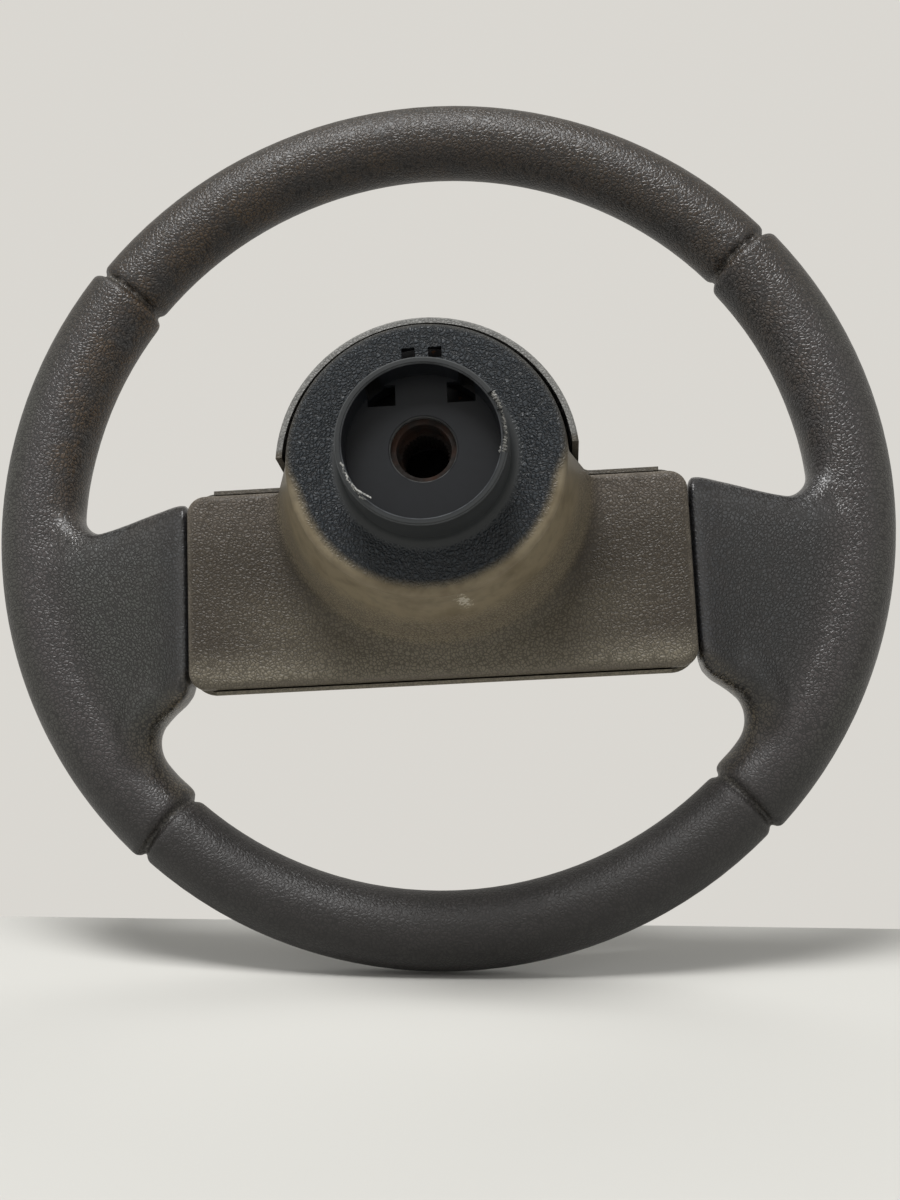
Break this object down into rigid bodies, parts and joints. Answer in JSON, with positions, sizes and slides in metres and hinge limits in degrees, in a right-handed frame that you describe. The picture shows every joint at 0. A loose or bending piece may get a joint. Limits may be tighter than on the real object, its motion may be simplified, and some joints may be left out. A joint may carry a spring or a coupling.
{
  "type": "car steering wheel",
  "caption": "Car steering wheel: foam-covered rim with finger grooves, boxed spokes and a hub cover with a broken collar behind, a serrated hub, and a sprung horn pad in front.",
  "frame": {"origin": "on the spin axis in the mouth of the hub's bore, on the column side", "axes": "+Y along the spin axis from the column towards the driver, +Z to twelve o'clock, +X to the right as the back is looked at"},
  "size_m": [0.3832, 0.138, 0.3799],
  "materials": {
    "grip_foam": "pebbled leather grain, worn satin",
    "cover_plastic": "fine grain, faded and dusty",
    "pad_plastic": "fine grain, dusty",
    "frame_steel": "black dip paint",
    "rusty_steel": "rusty",
    "zinc_steel": "dull zinc",
    "spring_steel": "oiled",
    "brass": "tarnished",
    "fibre": "matt",
    "nylon": "matt"
  },
  "bodies": {
    "wheel": {"rim_hoop": "frame_steel", "spoke_spider": "frame_steel", "hub_boss": "rusty_steel", "rim_grip": "grip_foam", "rear_cover": "cover_plastic", "cover_screws": "zinc_steel", "guide_pins": "zinc_steel", "spring_seats": "fibre", "horn_springs": "spring_steel", "contact_insulators": "fibre", "horn_contacts": "brass", "contact_screws": "zinc_steel"},
    "horn_pad": {"pad_shell": "pad_plastic", "pad_carrier": "frame_steel", "carrier_screws": "zinc_steel", "pin_bushes": "nylon", "contact_rivets": "brass"}
  },
  "joints": [
    {"name": "horn_push", "type": "slide", "parent": "wheel", "child": "horn_pad", "axis": [0, -1, 0], "range_m": [0, 0.003], "stiffness_N_per_m": 3000, "springref_m": -0.004, "deforming": ["horn_springs"]}
  ]
}
